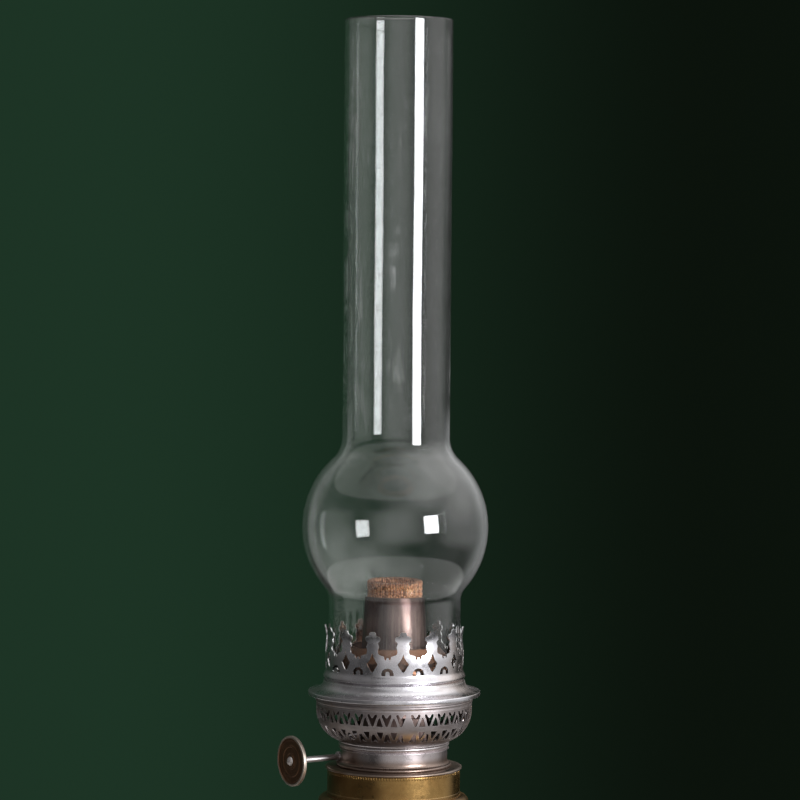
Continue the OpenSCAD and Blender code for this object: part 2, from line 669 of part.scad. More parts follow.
foot_shell();
foot_ballast();
foot_washer();
foot_nut();
tie_rod();
stem_base();
stem_knop();
stem_top();
font_cup();
font_bowl();
font_boss();
font_dome();
font_seam_band();
font_collar();
thread_ring();
base_plate();
winder_drum();
drum_deck();
outer_wick_tube();
inner_wick_tube();
draught_duct();
shaft_gland();
tail_bearing();
winder_shaft();
spur_wheels();
winder_knob();
knob_rivet();
wick();
pierced_basket();
gallery_flange();
chimney_seat();
air_cone();
chimney_crown();
chimney();
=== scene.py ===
import math
import random

import bmesh
import bpy
from mathutils import Matrix, Vector
from mathutils.geometry import delaunay_2d_cdt


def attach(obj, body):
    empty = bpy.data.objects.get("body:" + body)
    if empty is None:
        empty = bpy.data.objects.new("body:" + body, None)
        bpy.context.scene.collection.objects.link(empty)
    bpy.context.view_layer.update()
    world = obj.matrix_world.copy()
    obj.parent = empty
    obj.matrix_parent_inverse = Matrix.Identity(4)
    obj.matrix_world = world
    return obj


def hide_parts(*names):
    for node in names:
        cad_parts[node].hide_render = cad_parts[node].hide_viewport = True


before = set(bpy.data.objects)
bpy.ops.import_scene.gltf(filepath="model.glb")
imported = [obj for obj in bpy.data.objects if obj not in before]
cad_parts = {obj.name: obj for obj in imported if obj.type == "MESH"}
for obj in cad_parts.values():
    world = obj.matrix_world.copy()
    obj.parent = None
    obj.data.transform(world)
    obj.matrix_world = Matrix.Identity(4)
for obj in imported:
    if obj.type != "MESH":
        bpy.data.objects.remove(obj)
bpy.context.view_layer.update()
MM = 0.001

# Sizes shared with the solids, in millimetres; the winder angle is in radians
DRUM_TOP = 218.6
FLANGE_Z = 241.3
SEAT_Z = 245.6
GLASS_Z = 246.2
WINDER_A = math.radians(214.2)
SHAFT_OFF = 14.9
AXLE_Z = 213.8
KNOB_OUT = 39.4
GLASS_FOOT_R = 26.45
GLASS_TUBE_R = 21.6
GLASS_BULGE_R = 37.3
BULGE_UP = 61
LOW_CURVE = 8
TOP_CURVE = 12
GLASS_THICK = 1.8
GLASS_RIM_Z = 509.3

# Floor radius in metres, and the camera in pixels and sensor millimetres
FLOOR_R = 0.5
FOCAL_PIXELS = 3357
PICTURE_PIXELS = 800
SENSOR = 36.0


# Profiles
def arc(cx, cz, r, a0, a1, n):
    return [(cx + r * math.cos(math.radians(a0 + (a1 - a0) * i / n)),
             cz + r * math.sin(math.radians(a0 + (a1 - a0) * i / n))) for i in range(n + 1)]


def curve(p, n):
    out = []
    for i in range(n + 1):
        t = i / n
        s = 1 - t
        out.append(tuple(s**3 * p[0][k] + 3 * s * s * t * p[1][k] + 3 * s * t * t * p[2][k] + t**3 * p[3][k]
                         for k in (0, 1)))
    return out


def smooth(points, steps=6):
    """A Catmull-Rom curve through the points."""
    out = []
    n = len(points)
    for i in range(n - 1):
        p0, p1 = points[max(i - 1, 0)], points[i]
        p2, p3 = points[i + 1], points[min(i + 2, n - 1)]
        for k in range(steps):
            t = k / steps
            out.append(tuple(0.5 * (2 * p1[j] + (p2[j] - p0[j]) * t
                                    + (2 * p0[j] - 5 * p1[j] + 4 * p2[j] - p3[j]) * t * t
                                    + (3 * p1[j] - p0[j] - 3 * p2[j] + p3[j]) * t**3) for j in (0, 1)))
    out.append(points[-1])
    return out


def sheet(path, t):
    """Closed outline of a sheet whose outer face follows the path."""
    n = len(path)
    back = []
    for i in range(n):
        a, b = path[max(i - 1, 0)], path[min(i + 1, n - 1)]
        dx, dz = b[0] - a[0], b[1] - a[1]
        d = math.hypot(dx, dz) or 1
        back.append((path[i][0] - t * dz / d, path[i][1] + t * dx / d))
    return list(path) + back[::-1]


def eased(outline, r=0.12):
    """Corners of a closed outline cut by small arcs, so that edges catch the light."""
    out = []
    n = len(outline)
    for i in range(n):
        p = Vector(outline[i])
        a = Vector(outline[i - 1]) - p
        b = Vector(outline[(i + 1) % n]) - p
        if a.length < 1e-6 or b.length < 1e-6:
            continue
        turn = math.degrees(a.angle(b))
        if turn > 150 or p.x < 0.01:
            out.append(tuple(p))
            continue
        k = min(r, 0.4 * a.length, 0.4 * b.length)
        s, e = p + a.normalized() * k, p + b.normalized() * k
        for j in range(4):
            t = j / 3
            out.append(tuple((1 - t)**2 * s + 2 * t * (1 - t) * p + t * t * e))
    return out


# Mesh helpers
def add_object(name, bm, mat, body, nodes=(), sharp=35.0, matrix=None):
    mesh = bpy.data.meshes.new(name)
    bm.to_mesh(mesh)
    bm.free()
    obj = bpy.data.objects.new(name, mesh)
    bpy.context.scene.collection.objects.link(obj)
    if matrix is not None:
        mesh.transform(matrix)
    mesh.shade_smooth()
    mesh.set_sharp_from_angle(angle=math.radians(sharp))
    mesh.materials.append(mat)
    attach(obj, body)
    if nodes:
        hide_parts(*nodes)
    return obj


def lathe_mesh(outline, seg=192, wobble=None):
    """A closed outline of (radius, height) turned about Z, in metres."""
    bm = bmesh.new()
    rings = []
    for r, z in outline:
        if r < 0.005:
            rings.append([bm.verts.new((0, 0, z * MM))])
            continue
        ring = []
        for i in range(seg):
            a = 2 * math.pi * i / seg
            dr, dz = wobble(a, r, z) if wobble else (0, 0)
            ring.append(bm.verts.new(((r + dr) * MM * math.cos(a), (r + dr) * MM * math.sin(a),
                                      (z + dz) * MM)))
        rings.append(ring)
    n = len(rings)
    for k in range(n):
        a, b = rings[k], rings[(k + 1) % n]
        if len(a) == 1 and len(b) == 1:
            continue
        for i in range(seg):
            j = (i + 1) % seg
            if len(a) == 1:
                bm.faces.new((a[0], b[j], b[i]))
            elif len(b) == 1:
                bm.faces.new((a[i], a[j], b[0]))
            else:
                bm.faces.new((a[i], a[j], b[j], b[i]))
    bmesh.ops.recalc_face_normals(bm, faces=bm.faces)
    return bm


def lathe(name, outline, mat, body, nodes=(), seg=192, ease=0.12, matrix=None, wobble=None,
          sharp=35.0):
    pts = eased(outline, ease) if ease else outline
    return add_object(name, lathe_mesh(pts, seg, wobble), mat, body, nodes, sharp, matrix)


def inside(p, poly):
    hit = False
    n = len(poly)
    for i in range(n):
        (x0, y0), (x1, y1) = poly[i], poly[(i + 1) % n]
        if (y0 > p[1]) != (y1 > p[1]) and p[0] < (x1 - x0) * (p[1] - y0) / (y1 - y0) + x0:
            hit = not hit
    return hit


def round_poly(poly, r, steps=3):
    """A polygon with its corners rounded."""
    out = []
    n = len(poly)
    for i in range(n):
        p = Vector(poly[i])
        a, b = Vector(poly[i - 1]) - p, Vector(poly[(i + 1) % n]) - p
        k = min(r, 0.45 * a.length, 0.45 * b.length)
        s, e = p + a.normalized() * k, p + b.normalized() * k
        for j in range(steps + 1):
            t = j / steps
            out.append(tuple((1 - t)**2 * s + 2 * t * (1 - t) * p + t * t * e))
    return out


def across(path, z):
    """The first coordinate of a path of (value, z) points at a height."""
    z = min(max(z, path[0][1]), path[-1][1])
    for (v0, z0), (v1, z1) in zip(path, path[1:]):
        if z1 >= z:
            return v0 + (v1 - v0) * (z - z0) / max(z1 - z0, 1e-9)
    return path[-1][0]


def filled(outline, holes, step):
    """Triangles over an outline less its holes, with points inside it about a step apart."""
    points, edges = [], []
    for poly in [outline] + holes:
        base = len(points)
        for i, p in enumerate(poly):
            a, b = Vector(p), Vector(poly[(i + 1) % len(poly)])
            parts = max(1, int((b - a).length / step))
            points += [a + (b - a) * j / parts for j in range(parts)]
        count = len(points) - base
        edges += [(base + i, base + (i + 1) % count) for i in range(count)]
    rim = points[:]

    def solid(q):
        return inside(q, outline) and not any(inside(q, h) for h in holes)

    x0, x1 = min(p[0] for p in outline), max(p[0] for p in outline)
    z0, z1 = min(p[1] for p in outline), max(p[1] for p in outline)
    for i in range(int((x1 - x0) / step)):
        for k in range(int((z1 - z0) / step)):
            q = Vector((x0 + (i + 0.5) * step, z0 + (k + 0.5) * step))
            if solid(q) and all((q - p).length > step * 0.55 for p in rim):
                points.append(q)
    verts, _, faces, _, _, _ = delaunay_2d_cdt(points, edges, [], 0, 1e-5)
    return verts, [f for f in faces if solid(sum((verts[i] for i in f), Vector((0, 0))) / len(f))]


def pierced_strip(turns, start_deg, path, thick, outline, holes, seam, mid_r, step=0.45, lean=None):
    """Pierced sheet bent round Z from one flat pitch, in (x, z) millimetres, joined to the next along a seam.

    The path gives the outer radius at each height, holes(turn) the openings, and lean(turn, x, z) an
    outward bend.
    """
    pitch = 2 * math.pi * mid_r / turns
    bm = bmesh.new()

    def on_seam(v):
        x = across(seam, v.y)
        return min(abs(v.x - x), abs(v.x + pitch - x)) < 1e-3

    for t in range(turns):
        verts, faces = filled(outline, holes(t), step)
        centre = math.radians(start_deg) + t * pitch / mid_r
        outer, inner = [], []
        for v in verts:
            a = centre + v.x / mid_r
            slope = (across(path, v.y + 0.05) - across(path, v.y - 0.05)) / 0.1
            long = math.hypot(1, slope)
            r = across(path, v.y) + (lean(t, v.x, v.y) if lean else 0)
            for side, depth in ((outer, 0), (inner, thick)):
                rr, z = r - depth / long, v.y + depth * slope / long
                side.append(bm.verts.new((rr * MM * math.cos(a), rr * MM * math.sin(a), z * MM)))
        open_edges = set()
        for f in faces:
            bm.faces.new([outer[i] for i in f])
            bm.faces.new([inner[i] for i in reversed(f)])
            open_edges |= {(f[i], f[(i + 1) % len(f)]) for i in range(len(f))}
        for i, j in sorted(open_edges):
            if (j, i) not in open_edges and not (on_seam(verts[i]) and on_seam(verts[j])):
                bm.faces.new((outer[j], outer[i], inner[i], inner[j]))
    bmesh.ops.remove_doubles(bm, verts=bm.verts, dist=0.00001)
    bmesh.ops.delete(bm, geom=[v for v in bm.verts if not v.link_faces], context="VERTS")
    bmesh.ops.recalc_face_normals(bm, faces=bm.faces)
    return bm


def on_winder():
    """From a lathe's own Z to the winder shaft."""
    s = Vector((math.cos(WINDER_A), math.sin(WINDER_A), 0))
    side = Vector((math.sin(WINDER_A), -math.cos(WINDER_A), 0))
    m = Matrix.Identity(4)
    down = Vector((0, 0, -1))
    for col, v in enumerate((down, s.cross(down), s)):
        for row in range(3):
            m[row][col] = v[row]
    at = side * SHAFT_OFF * MM
    m.translation = (at.x, at.y, AXLE_Z * MM)
    return m


KNOB_AT = on_winder() @ Vector((0, 0, KNOB_OUT * MM))


# Materials
class Graph:
    def __init__(self, name):
        self.mat = bpy.data.materials.new(name)
        self.mat.use_nodes = True
        self.tree = self.mat.node_tree
        self.out = self.tree.nodes["Material Output"]
        self.shader = self.tree.nodes["Principled BSDF"]
        self.place = self.add("ShaderNodeTexCoord").outputs["Object"]

    def add(self, kind, **props):
        node = self.tree.nodes.new(kind)
        for k, v in props.items():
            setattr(node, k, v)
        return node

    def plug(self, node, **values):
        for key, v in values.items():
            numbered = key[0] == "i" and key[1:].isdigit()
            sock = node.inputs[int(key[1:]) if numbered else key.replace("_", " ")]
            if isinstance(v, bpy.types.NodeSocket):
                self.tree.links.new(v, sock)
            else:
                sock.default_value = v
        return node

    def noise(self, scale, detail=4.0, rough=0.55, vector=None, stretch=None, distortion=0.0):
        v = vector or self.place
        if stretch:
            m = self.plug(self.add("ShaderNodeMapping"), Vector=v, Scale=stretch)
            v = m.outputs[0]
        n = self.plug(self.add("ShaderNodeTexNoise"), Vector=v, Scale=scale, Detail=detail, Roughness=rough,
                      Distortion=distortion)
        return n.outputs["Fac"]

    def span(self, value, a, b, lo=0.0, hi=1.0, smooth=True):
        n = self.add("ShaderNodeMapRange", interpolation_type="SMOOTHSTEP" if smooth else "LINEAR")
        self.plug(n, i0=value, i1=a, i2=b, i3=lo, i4=hi)
        return n.outputs[0]

    def math(self, op, a, b=0.0, c=0.0):
        n = self.plug(self.add("ShaderNodeMath", operation=op), i0=a, i1=b, i2=c)
        return n.outputs[0]

    def mix(self, fac, a, b, mode="MIX"):
        n = self.add("ShaderNodeMix", data_type="RGBA", blend_type=mode)
        self.plug(n, i0=fac, i6=a, i7=b)
        return n.outputs[2]

    def polar(self, turns=1.0):
        """(angle, radius, height) of a point about the object's axis, for marks left by a lathe."""
        s = self.plug(self.add("ShaderNodeSeparateXYZ"), Vector=self.place)
        angle = self.math("ARCTAN2", s.outputs[1], s.outputs[0])
        r = self.math("SQRT", self.math("ADD", self.math("MULTIPLY", s.outputs[0], s.outputs[0]),
                                        self.math("MULTIPLY", s.outputs[1], s.outputs[1])))
        c = self.plug(self.add("ShaderNodeCombineXYZ"), X=self.math("MULTIPLY", angle, turns), Y=r,
                      Z=s.outputs[2])
        return c.outputs[0], s.outputs[2], angle, r

    def bump(self, height, strength, distance, normal=None):
        n = self.plug(self.add("ShaderNodeBump"), Height=height, Strength=strength, Distance=distance)
        if normal:
            self.plug(n, Normal=normal)
        return n.outputs[0]

    def edges(self, radius=0.0004):
        """1 along the edges of a piece, where it is worn bright."""
        bev = self.plug(self.add("ShaderNodeBevel", samples=4), Radius=radius)
        geo = self.add("ShaderNodeNewGeometry")
        d = self.add("ShaderNodeVectorMath", operation="DOT_PRODUCT")
        self.plug(d, i0=bev.outputs[0], i1=geo.outputs["Normal"])
        return self.span(d.outputs["Value"], 0.995, 0.9)

    def hollows(self, distance=0.0016):
        """1 in grooves and corners, where dirt stays and where shade is painted."""
        dark = self.plug(self.add("ShaderNodeAmbientOcclusion", samples=6, only_local=True),
                         Distance=distance)
        return self.span(dark.outputs["AO"], 0.80, 0.40)

    def inward(self):
        """1 on faces that look toward the axis, where the inside colour paints shade."""
        normal = self.add("ShaderNodeTexCoord").outputs["Normal"]
        across = self.plug(self.add("ShaderNodeVectorMath", operation="MULTIPLY"), i0=self.place,
                           i1=(1, 1, 0))
        outward = self.plug(self.add("ShaderNodeVectorMath", operation="NORMALIZE"), i0=across.outputs[0])
        facing = self.plug(self.add("ShaderNodeVectorMath", operation="DOT_PRODUCT"), i0=normal,
                           i1=outward.outputs[0])
        return self.span(facing.outputs["Value"], -0.15, -0.45)

    def finish(self, **values):
        for key, v in values.items():
            self.plug(self.shader, **{key: v})
        return self.mat


def rgba(r, g, b):
    return (r, g, b, 1.0)


def metal(name, bright, dull, stain_and_shade, rough=(0.28, 0.48), spots=0.35, lathe_marks=0.5, grain=0.2, warm=None,
          knurl=None,
          inside=None, low=None):
    """Worn metal that was turned or spun: rings round Z, patches, fine scratches, specks and bright edges."""
    g = Graph(name)
    polar, height, angle, _ = g.polar(0.02)
    patches = g.noise(38, 6, 0.6)
    fine = g.noise(420, 5, 0.65)
    rings = g.noise(1.0, 6, 0.7, vector=polar, stretch=(6, 5200, 5200))
    scratches = g.noise(1.0, 4, 0.8, stretch=(900, 900, 7000), distortion=0.6)
    body = g.mix(g.span(patches, 0.38, 0.66), rgba(*bright), rgba(*dull))
    body = g.mix(g.math("MULTIPLY", g.span(fine, 0.5, 0.75), 0.35), body, rgba(*dull))
    body = g.mix(g.math("MULTIPLY", g.span(rings, 0.45, 0.7), 0.30 * lathe_marks), body, rgba(*dull))
    specks = g.math("MULTIPLY", g.span(g.noise(1100, 3, 0.6), 0.66, 0.74),
                    g.span(g.noise(90, 3), 0.47, 0.64))
    body = g.mix(g.math("MULTIPLY", specks, spots), body, rgba(*stain_and_shade))
    if warm:
        tint = g.span(g.noise(22, 4, 0.6, stretch=(1, 1, 1.6)), 0.48, 0.68)
        body = g.mix(g.math("MULTIPLY", tint, 0.62), body, rgba(*warm))
    # Darker towards the bottom; on the basket's lower row this is painted shade
    if low:
        top, bottom, colour = low
        body = g.mix(g.math("MULTIPLY", g.span(height, top, bottom), 0.75), body, rgba(*colour))
    blotch = g.span(g.noise(31, 6, 0.68, stretch=(1, 1, 3.5), distortion=0.5), 0.55, 0.68)
    body = g.mix(g.math("MULTIPLY", blotch, spots * 0.8), body,
                 rgba(*[0.5 * (a + b) for a, b in zip(dull, stain_and_shade)]))
    # Painted shade: faces that look toward the axis, inside the crown and the basket, take the dark inside
    # colour
    if inside:
        body = g.mix(g.inward(), body, rgba(*inside))
    # Grooves and corners darkened by occlusion with the stain colour: dirt, and painted shade
    dirt_and_shade = g.math("MULTIPLY", g.hollows(), g.span(fine, 0.3, 0.6, 0.55, 0.9))
    body = g.mix(dirt_and_shade, body, rgba(*stain_and_shade))
    body = g.mix(g.math("MULTIPLY", g.edges(), 0.75), body, rgba(*[min(1, c * 1.3 + 0.1) for c in bright]))
    r = g.span(g.math("ADD", g.math("MULTIPLY", patches, 0.6), g.math("MULTIPLY", fine, 0.4)), 0.35, 0.65,
               *rough)
    r = g.math("ADD", r, g.math("MULTIPLY", g.math("MAXIMUM", specks, dirt_and_shade), 0.3))
    n = g.bump(rings, 0.3 * lathe_marks, 0.00003)
    n = g.bump(scratches, 0.12, 0.00002, n)
    n = g.bump(fine, grain, 0.00003, n)
    n = g.bump(g.noise(110, 2), 0.07, 0.0001, n)
    if knurl:
        low, high, count = knurl
        band = g.math("MULTIPLY", g.span(height, low - 0.0002, low), g.span(height, high + 0.0001, high))
        ticks = g.span(g.math("SINE", g.math("MULTIPLY", angle, float(count))), -0.2, 0.6)
        n = g.bump(g.math("MULTIPLY", ticks, band), 0.9, 0.00025, n)
    g.shader.inputs["Metallic"].default_value = 1.0
    g.shader.inputs["Anisotropic"].default_value = 0.45 * lathe_marks
    return g.finish(Base_Color=body, Roughness=r, Normal=n)


# Gallery nickel; its dark inside colour is painted shade on inner faces
nickel = metal("worn_nickel", (0.72, 0.70, 0.735), (0.52, 0.49, 0.50), (0.13, 0.09, 0.07), (0.20, 0.36),
               warm=(0.50, 0.40, 0.34), lathe_marks=0.8, inside=(0.20, 0.12, 0.085))
nickel_dull = metal("dull_nickel", (0.60, 0.55, 0.56), (0.40, 0.34, 0.33), (0.07, 0.05, 0.035),
                    (0.24, 0.40), spots=0.5,
                    warm=(0.42, 0.31, 0.23), lathe_marks=0.9)
# The drum wall: browner tarnish, and darker than the deck's nickel as painted shade under the basket's bowl
shaded_drum_nickel = metal("drum_nickel", (0.47, 0.42, 0.42), (0.30, 0.245, 0.23), (0.06, 0.04, 0.028),
                   (0.24, 0.40), spots=0.6,
                   warm=(0.30, 0.205, 0.145), lathe_marks=0.9, low=(0.2168, 0.2138, (0.20, 0.13, 0.09)))
# The basket's sheet and rim: a darker copy of the nickel, painted shade under the flange's rim
shaded_basket_nickel = metal("basket_nickel", (0.37, 0.33, 0.33), (0.23, 0.19, 0.18), (0.05, 0.035, 0.025),
                     (0.36, 0.52),
                     spots=0.6, warm=(0.31, 0.235, 0.19), grain=0.35, inside=(0.085, 0.055, 0.042),
                     low=(0.2295, 0.2245, (0.15, 0.12, 0.11)))
brass = metal("aged_brass", (0.37, 0.225, 0.08), (0.22, 0.12, 0.04), (0.07, 0.035, 0.012), (0.20, 0.36),
              spots=0.5,
              warm=(0.30, 0.15, 0.055), lathe_marks=0.8, knurl=(0.2088, 0.2097, 150))
brass_polished = metal("font_brass", (0.50, 0.32, 0.125), (0.35, 0.21, 0.075), (0.10, 0.05, 0.018),
                       (0.24, 0.42), spots=0.4,
                       lathe_marks=0.8, warm=(0.46, 0.26, 0.10))
burner_brass = metal("burner_brass", (0.34, 0.22, 0.10), (0.20, 0.12, 0.05), (0.05, 0.03, 0.012),
                     (0.3, 0.5))
copper = metal("browned_copper", (0.32, 0.16, 0.10), (0.16, 0.08, 0.05), (0.05, 0.025, 0.015), (0.30, 0.5),
               spots=0.7,
               warm=(0.24, 0.11, 0.065))
tarnished = metal("tarnished_nickel", (0.36, 0.29, 0.25), (0.20, 0.14, 0.10), (0.05, 0.03, 0.02),
                  (0.26, 0.42), spots=0.5,
                  warm=(0.28, 0.17, 0.10), lathe_marks=0.6)
steel = metal("plain_steel", (0.74, 0.69, 0.68), (0.56, 0.50, 0.48), (0.14, 0.08, 0.05), (0.44, 0.60),
              lathe_marks=0.3)


def heated_steel():
    """Steel tube, browned and blued by the flame towards its mouth."""
    g = Graph("heated_steel")
    polar, height, _, _ = g.polar(0.02)
    streaks = g.noise(1.0, 5, 0.65, vector=g.polar(1.0)[0], stretch=(9, 1, 16))
    patches = g.noise(120, 5, 0.6, stretch=(1, 1, 0.45))
    heat = g.span(g.math("ADD", height, g.math("MULTIPLY", g.math("SUBTRACT", patches, 0.5), 0.012)), 0.262,
                  0.281)
    base = g.mix(g.span(patches, 0.35, 0.65), rgba(0.36, 0.25, 0.225), rgba(0.17, 0.11, 0.10))
    base = g.mix(g.math("MULTIPLY", g.span(streaks, 0.45, 0.65), 0.6), base, rgba(0.50, 0.38, 0.335))
    base = g.mix(g.math("MULTIPLY", heat, 0.75), base, rgba(0.09, 0.052, 0.048))
    rim = g.span(height, 0.2798, 0.2806)
    base = g.mix(g.math("MULTIPLY", rim, 0.5), base, rgba(0.26, 0.17, 0.13))
    rings = g.noise(1.0, 6, 0.7, vector=polar, stretch=(6, 3000, 3000))
    rough = g.span(patches, 0.3, 0.7, 0.30, 0.52)
    n = g.bump(rings, 0.25, 0.00004)
    n = g.bump(g.noise(500, 4), 0.3, 0.00006, n)
    g.shader.inputs["Metallic"].default_value = 1.0
    return g.finish(Base_Color=base, Roughness=rough, Normal=n)


def knob_metal():
    """Dark patina in the hollows of the knob, bright where fingers rub it."""
    g = Graph("knob_patina")
    fine = g.noise(700, 5, 0.65)
    patches = g.noise(170, 5, 0.6)
    dark = g.mix(g.span(patches, 0.35, 0.65), rgba(0.19, 0.10, 0.055), rgba(0.11, 0.055, 0.03))
    base = g.mix(g.math("MULTIPLY", g.span(fine, 0.5, 0.72), 0.45), dark, rgba(0.22, 0.135, 0.08))
    place = g.plug(g.add("ShaderNodeVectorMath", operation="SUBTRACT"), i0=g.place, i1=KNOB_AT)
    reach = g.plug(g.add("ShaderNodeVectorMath", operation="LENGTH"), i0=place.outputs[0])
    base = g.mix(g.span(reach.outputs["Value"], 0.0091, 0.0094), base, rgba(0.47, 0.40, 0.34))
    n = g.bump(fine, 0.4, 0.00008)
    n = g.bump(patches, 0.3, 0.0001, n)
    g.shader.inputs["Metallic"].default_value = 1.0
    return g.finish(Base_Color=base, Roughness=g.span(patches, 0.3, 0.7, 0.34, 0.55), Normal=n)


def iron():
    g = Graph("cast_iron")
    grain = g.noise(900, 6, 0.7)
    base = g.mix(g.span(g.noise(60, 5), 0.4, 0.65), rgba(0.045, 0.045, 0.047), rgba(0.12, 0.06, 0.035))
    g.shader.inputs["Metallic"].default_value = 0.6
    return g.finish(Base_Color=base, Roughness=g.span(grain, 0.3, 0.7, 0.6, 0.85),
                    Normal=g.bump(grain, 0.8, 0.0002))


def cotton():
    """Knitted cotton wick: browned by oil, charred in specks along its top."""
    g = Graph("wick_cotton")
    polar, height, angle, _ = g.polar(0.0108)
    wander = g.noise(500, 3, 0.6)
    loops = g.add("ShaderNodeTexVoronoi", feature="F1")
    g.plug(loops,
           Vector=g.plug(g.add("ShaderNodeMapping"), Vector=polar, Scale=(1300, 600, 950)).outputs[0],
           Scale=1.0)
    loop = g.math("MULTIPLY_ADD", wander, 0.35, loops.outputs["Distance"])
    rib = g.span(g.math("SINE", g.math("MULTIPLY_ADD", wander, 5.0, g.math("MULTIPLY", angle, 64.0))), -0.9,
                 0.2)
    fibre = g.noise(1500, 5, 0.75)
    blotch = g.noise(620, 4, 0.65)
    base = g.mix(g.span(loop, 0.42, 0.78), rgba(1.0, 0.54, 0.30), rgba(0.80, 0.28, 0.11))
    base = g.mix(g.span(loop, 0.72, 0.98), base, rgba(0.13, 0.045, 0.02))
    base = g.mix(g.math("MULTIPLY", g.math("SUBTRACT", 1.0, rib), 0.6), base, rgba(0.20, 0.075, 0.03))
    base = g.mix(g.math("MULTIPLY", g.span(fibre, 0.5, 0.62), 0.6), base, rgba(0.22, 0.08, 0.032))
    base = g.mix(g.math("MULTIPLY", g.span(blotch, 0.54, 0.64), 0.5), base, rgba(1.0, 0.54, 0.30))
    base = g.mix(g.math("MULTIPLY", g.span(blotch, 0.46, 0.36), 0.6), base, rgba(0.16, 0.06, 0.028))
    ragged = g.math("MULTIPLY_ADD", g.math("SUBTRACT", fibre, 0.5), 0.004, height)
    base = g.mix(g.math("MULTIPLY", g.span(ragged, 0.2844, 0.2862), 0.5), base, rgba(0.15, 0.065, 0.035))
    base = g.mix(g.span(height, 0.262, 0.216), base, rgba(0.46, 0.38, 0.27))
    h = g.math("MULTIPLY_ADD", loop, -0.9, fibre)
    g.shader.inputs["Sheen Weight"].default_value = 0.2
    g.shader.inputs["Sheen Roughness"].default_value = 0.5
    return g.finish(Base_Color=base, Roughness=0.92, Normal=g.bump(h, 1.0, 0.0005))


def clear_glass():
    """Blown glass with a faint film, heavier in smudges and runs inside the upper tube."""
    g = Graph("clear_glass")
    _, height, _, _ = g.polar()
    runs = g.noise(1.0, 5, 0.6, stretch=(95, 95, 8), distortion=0.4)
    smudge = g.noise(55, 6, 0.7, distortion=0.8)
    upper = g.math("MULTIPLY", g.span(height, 0.335, 0.37), g.span(height, 0.50, 0.45))
    film = g.math("MULTIPLY", g.math("MULTIPLY", g.span(runs, 0.53, 0.68), g.span(smudge, 0.42, 0.62)),
                  upper)
    dust = g.math("MULTIPLY", g.span(g.noise(2200, 2, 0.5), 0.69, 0.75), g.span(smudge, 0.35, 0.6))
    haze = g.math("MULTIPLY_ADD", film, 0.32, g.math("MULTIPLY", dust, 0.25))
    slant = g.add("ShaderNodeLayerWeight")
    slant.inputs["Blend"].default_value = 0.5
    bulge = g.math("MULTIPLY", g.span(height, 0.272, 0.295), g.span(height, 0.36, 0.34))
    edge_film = g.math("MULTIPLY", g.span(slant.outputs["Facing"], 0.42, 0.80),
                       g.math("MULTIPLY_ADD", bulge, 0.15, 0.012))
    veil = g.math("ADD", edge_film, g.span(smudge, 0.3, 0.7, 0.0, 0.008))
    clear = g.math("SUBTRACT", g.math("SUBTRACT", 1.0, veil), haze)
    g.shader.inputs["IOR"].default_value = 1.5
    g.shader.inputs["Sheen Weight"].default_value = 0.035
    g.shader.inputs["Sheen Roughness"].default_value = 0.4
    wave = g.noise(1.0, 2, 0.5, stretch=(30, 30, 9))
    return g.finish(Base_Color=rgba(0.97, 0.98, 0.97), Transmission_Weight=clear,
                    Roughness=g.math("MULTIPLY", film, 0.12), Normal=g.bump(wave, 0.12, 0.0006))


def floor_material():
    """Plain pale floor, the same all over."""
    g = Graph("pale_floor")
    fine = g.noise(300, 3)
    base = g.mix(g.span(g.noise(6, 3), 0.3, 0.7), rgba(0.52, 0.515, 0.50), rgba(0.48, 0.475, 0.46))
    return g.finish(Base_Color=base, Roughness=0.75, Normal=g.bump(fine, 0.05, 0.0003))


tube_steel = heated_steel()
patina = knob_metal()
rough_iron = iron()
wick_cotton = cotton()
glass = clear_glass()

# Stand
foot_bead = 2.5
foot_path = ([(72, 0)] + arc(72 - foot_bead, foot_bead, foot_bead, 0, 90, 12)
             + curve([(65, 5.4), (63, 13.5), (46, 9.9), (35.5, 19.5)], 40)
             + arc(33.5, 21.5, 2, -90, 90, 16)
             + curve([(31, 23.7), (26, 24.4), (24, 29.8), (17, 30)], 24) + [(3.05, 30)])
outer_foot = [p for i, p in enumerate(foot_path) if i == 0 or math.dist(p, foot_path[i - 1]) > 0.02]
lathe("foot", sheet(outer_foot, 1.2)[:-1] + [(66.0, 1.2), (66.0, 0)], brass_polished, "stand",
      ["foot_shell"], 256, 0.15)


def turning(name, path, node, mat, bore=3.05, seg=160):
    lathe(name, [(bore, path[0][1])] + path + [(bore, path[-1][1])], mat, "stand", [node], seg, 0.15)


turning("stem_lower", curve([(16, 30), (12, 33), (7.5, 37), (7.5, 47)], 24) + arc(8, 49.2, 2.2, -90, 90, 14)
        + [(7.5, 51.6), (7.5, 54)], "stem_base", brass_polished)
turning("stem_middle",
        [(9, 54), (9, 55.6)] + curve([(8.1, 56.2), (17.05, 57.4), (17.98, 69), (8.1, 73.8)], 36)
        + [(9, 74.4), (9, 76)], "stem_knop", brass_polished)
turning("stem_upper", [(7.5, 76), (7.5, 77.4)] + arc(7.9, 79, 1.6, -90, 90, 12)
        + curve([(7.5, 81), (8, 94), (12, 99), (20, 99.8)], 24) + [(20, 102)], "stem_top", brass_polished)
bowl_path = [(9, 104)] + curve([(18, 104), (44, 104), (64, 118), (64, 146)], 60)
dome_path = curve([(64, 146), (64, 179), (32, 166), (31, 192.8)], 70) + [(30.6, 193.8), (25, 193.8)]
lathe("font_lower", sheet(bowl_path, 0.9), brass_polished, "stand", ["font_bowl"], 256, 0)
lathe("font_upper", sheet(dome_path, 0.9), brass_polished, "stand", ["font_dome"], 256, 0)
lathe("seam_band",
      [(64.05, 143), (64.75, 143)] + arc(64.55, 146, 2.1, -90, 90, 20) + [(64.75, 149), (64.05, 149)],
      brass_polished, "stand", ["font_seam_band"], 256, 0.1)
collar = [(24.3, 193.8), (26.4, 193.8)]
